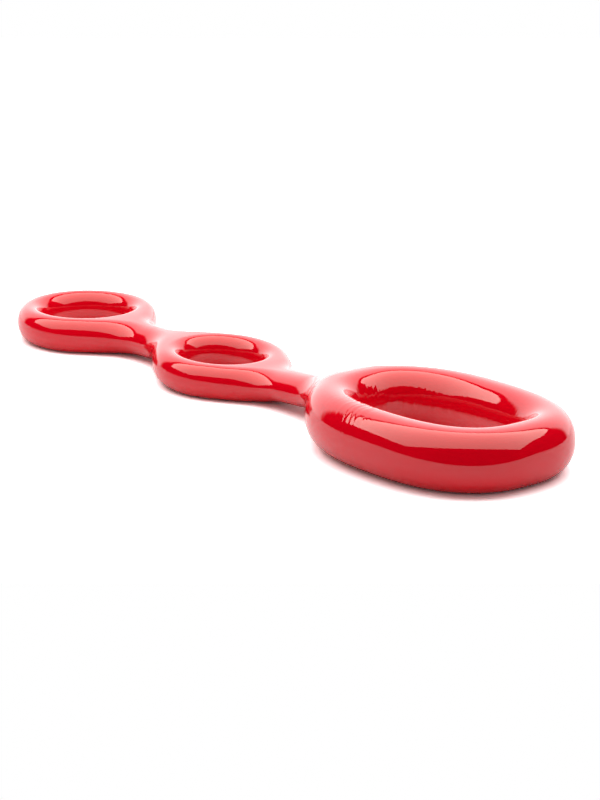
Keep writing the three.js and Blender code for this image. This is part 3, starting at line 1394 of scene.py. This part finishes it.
    def foam_pieces(self) -> list[bpy.types.Object]:
        """The foam under the skin: two layers in each ring and two lengths in each neck.

        Returns:
            The pieces.
        """
        depth = self.wall + self.clearance
        whole = self.rough_shape(self.foam_grid, depth).relaxed(self.body, depth, 4).mesh("foam")
        tool = self.channels()
        lengths = self.stretches()
        front_far, front_near = lengths[0].start, lengths[1].stop
        rear_near, rear_far = lengths[2].start, lengths[3].stop
        spans = {
            "large_ring": (front_far, math.inf),
            "middle_ring": (rear_near, front_near),
            "end_ring": (-math.inf, rear_far),
        }
        pieces = []
        for ring, tube in self.rings().items():
            for layer in Layer:
                name = f"{ring}_{layer.value}_core"
                block = self.span_of(whole, *spans[ring])
                away = tube.axes()[2] * (-1 if layer is Layer.UPPER else 1)
                sliced(block, tube.centre - away * self.clearance / 2, away)
                pieces.append(self.foam_piece(f"foam_{name}", carved(block, tool.copy(), f"foam_{name}"), name, ring))
        neck_spans = [
            ("front_neck", lengths[0], (lengths[0].low, front_far)),
            ("front_neck", lengths[1], (front_near, lengths[1].high)),
            ("rear_neck", lengths[2], (lengths[2].low, rear_near)),
            ("rear_neck", lengths[3], (rear_far, lengths[3].high)),
        ]
        for neck, stretch, span in neck_spans:
            name = f"foam_{neck}_by_{stretch.name}"
            mesh = carved(self.span_of(whole, *span), tool.copy(), name)
            pieces.append(self.foam_piece(name, mesh, f"{neck}_core", stretch))
        return pieces

    def span_of(self, whole: bpy.types.Mesh, low: float, high: float) -> bpy.types.Mesh:
        """The part of a solid between two places along the chain, a little short of each.

        Args:
            whole: The solid.
            low: The first place, or minus infinity.
            high: The last place, or infinity.

        Returns:
            The part's mesh.
        """
        part = whole.copy()
        gap = self.clearance / 2
        if math.isfinite(low):
            sliced(part, np.array([low + gap, 0, 0]), np.array([-1.0, 0, 0]))
        if math.isfinite(high):
            sliced(part, np.array([high - gap, 0, 0]), np.array([1.0, 0, 0]))
        return part

    def channels(self) -> bpy.types.Mesh:
        """The space that the hoops and tethers take out of the foam.

        Returns:
            One mesh of it all.
        """
        width = 2 * (self.hoop_radius + self.clearance)
        parts = [
            self.tube_mesh(replace(tube, tube_width=width, tube_height=width), 0.0, 12)
            for tube in self.rings().values()
        ]
        across = np.array([0, self.tether_radius + self.clearance, 0])
        for neck in (self.body.front, self.body.rear):
            parts.append(round_bar(neck.start, neck.stop, self.tether_radius + self.clearance, 16))
            for place in (neck.start, neck.stop):
                parts.append(round_bar(place - across, place + across, self.eye_radius() + self.tether_radius * 1.2))
        return joined(parts)

    def foam_piece(self, name: str, mesh: bpy.types.Mesh, node: str, rides: Stretch | str) -> bpy.types.Object:
        """A length of foam, shaded with its cut edges sharp, dressed, and tied to the frame when it rides a body.

        Args:
            name: The piece's name.
            mesh: Its finished solid.
            node: The frame's node that it stands for.
            rides: The body that it follows, or the stretch that it lies on, which leaves it untied.

        Returns:
            The piece.
        """
        crisp(mesh)
        made = self.piece(name, mesh, "foam", rides, node)
        return made

    # -- cords --

    def eye_radius(self) -> float:
        """How far a tether's eye lies from the middle of the hoop that it goes round."""
        return self.hoop_radius + self.tether_radius + self.clearance

    def cord_mesh(self, name: str, path: Array, closed: bool, radius: float) -> bpy.types.Mesh:
        """A twisted cord along a path.

        Args:
            name: The mesh's name.
            path: The points along it.
            closed: Whether the last point joins the first.
            radius: The cord's radius.

        Returns:
            The mesh.
        """
        count = len(path)
        edges = [(i, i + 1) for i in range(count - 1)] + ([(count - 1, 0)] if closed else [])
        start = bpy.data.meshes.new(name)
        start.from_pydata(path.tolist(), edges, [])
        length = float(np.linalg.norm(np.diff(path, axis=0), axis=1).sum())
        sizes = {
            "Strands": self.strand_count,
            "Turns": float(round(length / (self.twist_length * radius))),
            "Radius": radius,
            "Steps": max(24, round(length / (0.7 * radius))),
            "Sides": 6,
            "Material": self.finishes.cord,
        }
        mesh = grow(name, start, self.cord_tree, sizes)
        smooth(mesh)
        return mesh

    def hoop_pieces(self) -> list[bpy.types.Object]:
        """The closed cord in each ring.

        Returns:
            The pieces.
        """
        pieces = []
        for ring, tube in self.rings().items():
            flat = tube.line(np.linspace(-math.pi, math.pi, 180, endpoint=False))
            path = tube.centre + np.column_stack([flat, np.zeros(len(flat))]) @ tube.axes()
            name = f"cord_{ring}_hoop"
            mesh = self.cord_mesh(name, path, True, self.hoop_radius)
            pieces.append(self.piece(name, mesh, "cord", ring, f"{ring}_hoop"))
        return pieces

    def tether_pieces(self) -> list[bpy.types.Object]:
        """The four half tethers, each from a hoop to the slim middle of its neck.

        Returns:
            The pieces.
        """
        front, rear = self.body.front, self.body.rear
        halves = [
            ("front_neck", front.stop, front.start),
            ("front_neck", front.start, front.stop),
            ("rear_neck", rear.stop, rear.start),
            ("rear_neck", rear.start, rear.stop),
        ]
        pieces = []
        for stretch, (neck, eye, other) in zip(self.stretches(), halves):
            waist = stretch.low if eye[0] > other[0] else stretch.high
            name = f"cord_tether_by_{stretch.name}"
            mesh = self.cord_mesh(name, self.tether_path(eye, other, waist), False, self.tether_radius)
            pieces.append(self.piece(name, mesh, "cord", stretch, f"{neck}_tether"))
        return pieces

    def tether_path(self, eye: Array, other: Array, waist: float) -> Array:
        """The way of half a tether: from the neck's middle to its hoop and once round it.

        Args:
            eye: The middle of the hoop's cord.
            other: The far end of the whole tether.
            waist: Where the half starts, along the chain.

        Returns:
            The points along it.
        """
        line = (other - eye) / np.linalg.norm(other - eye)
        up = np.cross(line, [0, 1.0, 0])
        reach = (waist - eye[0]) / line[0]
        run = np.linspace(reach, 2.2 * self.eye_radius(), 14)[:, None] * line
        turn = np.linspace(0.35, 2 * math.pi - 0.35, 22)[:, None]
        loop = self.eye_radius() * (np.cos(turn) * line + np.sin(turn) * up)
        return eye + np.vstack([run, loop])


# ---- studio ----


@dataclass
class Studio:
    """The floor, the lights and the camera; places are forward to the camera, to its right, and up."""

    azimuth: float = 49.91
    elevation: float = 16.5
    distance: float = 1.8
    lens: float = 120.04
    look_at: tuple[float, float, float] = (34.6 * MM, 0.0, 7.04 * MM)
    floor_front: float = 0.36
    floor_back: float = -1.6
    floor_side: float = 1.5
    floor_white: float = 0.86
    floor_seen: float = 1.5
    box_near: tuple[float, float] = (1.2, 0.8)
    box_near_sides: tuple[float, float] = (-2.45, 2.5)
    box_far: tuple[float, float] = (-1.64, 2.85)
    box_far_sides: tuple[float, float] = (-7.0, 3.5)
    box_colour: tuple[float, float, float] = (1.0, 0.98, 0.89)
    box_strength: tuple[float, float] = (2.9, 6.3)
    glow_near: tuple[float, float] = (0.5, 1.3)
    glow_far: tuple[float, float] = (-1.7, 2.4)
    glow_width: float = 3.4
    glow_power: float = 88.0
    wall_top: float = 57.0
    wall_side: float = 56.0
    wall_strength: float = 2.2
    room_light: float = 0.4

    def __post_init__(self) -> None:
        """Works out the directions towards the camera and to its right."""
        turn = math.radians(self.azimuth)
        self.towards = Vector((math.sin(turn), -math.cos(turn), 0))
        self.right = Vector((math.cos(turn), math.sin(turn), 0))

    def build(self) -> None:
        """Makes the whole studio."""
        bpy.context.scene.view_settings.view_transform = "Standard"
        self.camera()
        self.floor()
        self.glow()
        self.box_face()
        self.surroundings()

    def spot(self, forward: float, right: float, up: float) -> Vector:
        """A place in the studio: towards the camera, to its right, and above the floor."""
        return self.towards * forward + self.right * right + Vector((0, 0, up))

    def sheet(self, name: str, corners: Sequence[Sequence[float]], material: bpy.types.Material) -> bpy.types.Object:
        """A flat four-sided sheet that isn't part of the chain.

        Args:
            name: Its name.
            corners: The places of its corners in the studio, anticlockwise as seen from its front.
            material: What it is made of.

        Returns:
            The sheet.
        """
        mesh = bpy.data.meshes.new(name)
        mesh.from_pydata([tuple(self.spot(*corner)) for corner in corners], [], [(0, 1, 2, 3)])
        mesh.materials.append(material)
        made = new_object(name, mesh)
        return made

    def camera(self) -> None:
        """A long lens from the side of the large ring, looking slightly down."""
        tilt = math.radians(self.elevation)
        back = self.towards * math.cos(tilt) + Vector((0, 0, math.sin(tilt)))
        made = bpy.data.objects.new("camera", bpy.data.cameras.new("camera"))
        made.data.lens = self.lens
        made.data.sensor_width = 36
        made.location = Vector(self.look_at) + back * self.distance
        made.rotation_euler = back.to_track_quat("Z", "Y").to_euler()
        bpy.context.scene.collection.objects.link(made)
        bpy.context.scene.camera = made

    def floor(self) -> None:
        """A white sheet under the chain that ends a little in front of it."""
        work = Shading("white sheet")
        seen = work.node("ShaderNodeLightPath").outputs["Is Camera Ray"]
        white = work.dress(
            Base_Color=work.tint(seen, [self.floor_white] * 3, [self.floor_seen] * 3),
            Roughness=0.9,
            Specular_IOR_Level=0.0,
        )
        front, back, side = self.floor_front, self.floor_back, self.floor_side
        self.sheet("floor", [(front, -side, 0), (front, side, 0), (back, side, 0), (back, -side, 0)], white)

    def glow(self) -> None:
        """The soft box's light on the body colour, which doesn't show in reflections."""
        (near, low), (far, high) = self.glow_near, self.glow_far
        front, rear = self.spot(near, 0, low), self.spot(far, 0, high)
        light = bpy.data.lights.new("glow", "AREA")
        light.shape = "RECTANGLE"
        light.size, light.size_y = self.glow_width, (rear - front).length
        light.energy = self.glow_power
        made = bpy.data.objects.new("glow", light)
        up = (rear - front).normalized()
        turn = Matrix((self.right, up, self.right.cross(up))).transposed()
        made.matrix_world = Matrix.Translation((front + rear) / 2) @ turn.to_4x4()
        made.visible_camera = made.visible_glossy = False
        bpy.context.scene.collection.objects.link(made)

    def box_face(self) -> None:
        """The soft box's bright face, which is brighter towards its far, high edge and only shows in reflections."""
        (near, low), (far, high) = self.box_near, self.box_far
        near_left, near_right = self.box_near_sides
        far_left, far_right = self.box_far_sides
        work = Shading("box face")
        height = work.node("ShaderNodeSeparateXYZ", {0: work.place()}).outputs["Z"]
        strength = work.ranged(height, low, high, *self.box_strength)
        shine = work.node("ShaderNodeEmission", {"Color": (*self.box_colour, 1), "Strength": strength})
        work.feed(work.tree.nodes["Material Output"], {"Surface": shine.outputs[0]})
        corners = [(far, far_left, high), (far, far_right, high), (near, near_right, low), (near, near_left, low)]
        face = self.sheet("box_face", corners, work.material)
        face.visible_camera = face.visible_diffuse = face.visible_shadow = False

    def surroundings(self) -> None:
        """White all round for the camera and the body colour; a white wall behind and a dark room for reflections."""
        world = bpy.data.worlds.new("studio")
        bpy.context.scene.world = world
        world.use_nodes = True
        work = Shading("studio", world.node_tree)
        way = work.node("ShaderNodeTexCoord").outputs["Generated"]
        top, side = math.radians(self.wall_top), math.radians(self.wall_side)
        back = -self.towards * math.sin(side)
        edges = [
            (-(Vector((0, 0, math.cos(top))) + self.towards * math.sin(top)), 0.05),
            (back + self.right * math.cos(side), -0.08),
            (back - self.right * math.cos(side), -0.08),
        ]
        shares = []
        for direction, low in edges:
            inputs = {0: way, 1: tuple(direction)}
            reach = work.node("ShaderNodeVectorMath", inputs, operation="DOT_PRODUCT").outputs["Value"]
            shares.append(work.ranged(reach, low, 0.08, kind="SMOOTHSTEP"))
        wall = work.maths("MULTIPLY", work.maths("MULTIPLY", shares[0], shares[1]), shares[2])
        bright = work.maths("MULTIPLY", wall, self.wall_strength)
        rays = work.node("ShaderNodeLightPath").outputs
        unseen = work.either(rays["Is Diffuse Ray"], bright, self.room_light)
        shown = work.either(rays["Is Camera Ray"], unseen, 1.0)
        work.feed(world.node_tree.nodes["Background"], {"Color": (1, 1, 1, 1), "Strength": shown})


def main() -> None:
    """Builds the chain round its frame, then the studio."""
    logging.basicConfig(level=logging.INFO, format="%(message)s")
    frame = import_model()
    Studio().build()
    for piece in Chain(frame, Finishes.mixed()).pieces():
        LOG.info("%s: %d faces", piece.name, len(piece.data.polygons))


if __name__ == "__main__":
    main()
